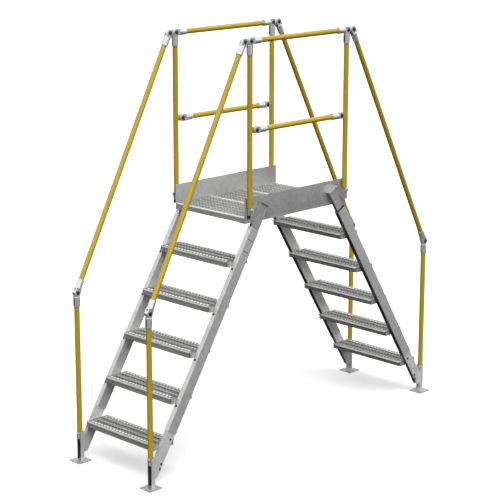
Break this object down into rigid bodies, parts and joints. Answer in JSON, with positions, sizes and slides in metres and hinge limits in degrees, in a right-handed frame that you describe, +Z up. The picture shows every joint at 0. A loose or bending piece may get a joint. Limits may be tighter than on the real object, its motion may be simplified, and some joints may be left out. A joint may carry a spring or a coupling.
{
  "type": "crossover platform",
  "caption": "Steel crossover platform: a short stair up each side of a gripped deck with toe boards, channel stringers on anchor feet, and tube handrails in swivel fittings.",
  "frame": {"origin": "on the floor, under the middle of the deck", "axes": "+X along the walkway, +Y across it towards the far side, +Z up"},
  "size_m": [2.654, 0.7544, 2.627],
  "materials": {
    "galvanised_frame": "hot-dip galvanised, soft spangle",
    "grip_planks": "galvanised, pierced and raised for grip",
    "yellow_tube": "powder coat, semi-gloss",
    "zinc_fittings": "bright zinc plate"
  },
  "bodies": {
    "root": {"corner_fitting_far_left": "zinc_fittings", "corner_fitting_far_right": "zinc_fittings", "corner_fitting_near_left": "zinc_fittings", "corner_fitting_near_right": "zinc_fittings", "deck_plank_1": "grip_planks", "deck_plank_2": "grip_planks", "deck_plank_3": "grip_planks", "elbow_fitting_far_left": "zinc_fittings", "elbow_fitting_far_right": "zinc_fittings", "elbow_fitting_near_left": "zinc_fittings", "elbow_fitting_near_right": "zinc_fittings", "foot_far_left": "galvanised_frame", "foot_far_right": "galvanised_frame", "foot_near_left": "galvanised_frame", "foot_near_right": "galvanised_frame", "leg_stub_far_left": "galvanised_frame", "leg_stub_far_right": "galvanised_frame", "leg_stub_near_left": "galvanised_frame", "leg_stub_near_right": "galvanised_frame", "lower_post_far_left": "yellow_tube", "lower_post_far_right": "yellow_tube", "lower_post_near_left": "yellow_tube", "lower_post_near_right": "yellow_tube", "mid_rail_far": "yellow_tube", "mid_rail_near": "yellow_tube", "mid_rail_sockets_far": "zinc_fittings", "mid_rail_sockets_near": "zinc_fittings", "platform_post_far_left": "yellow_tube", "platform_post_far_right": "yellow_tube", "platform_post_near_left": "yellow_tube", "platform_post_near_right": "yellow_tube", "side_beam_far": "galvanised_frame", "side_beam_near": "galvanised_frame", "stair_rail_far_left": "yellow_tube", "stair_rail_far_right": "yellow_tube", "stair_rail_near_left": "yellow_tube", "stair_rail_near_right": "yellow_tube", "stringer_far_left": "galvanised_frame", "stringer_far_right": "galvanised_frame", "stringer_near_left": "galvanised_frame", "stringer_near_right": "galvanised_frame", "top_rail_far": "yellow_tube", "top_rail_near": "yellow_tube", "tread_left_1": "grip_planks", "tread_left_2": "grip_planks", "tread_left_3": "grip_planks", "tread_left_4": "grip_planks", "tread_left_5": "grip_planks", "tread_right_1": "grip_planks", "tread_right_2": "grip_planks", "tread_right_3": "grip_planks", "tread_right_4": "grip_planks", "tread_right_5": "grip_planks"}
  },
  "joints": []
}
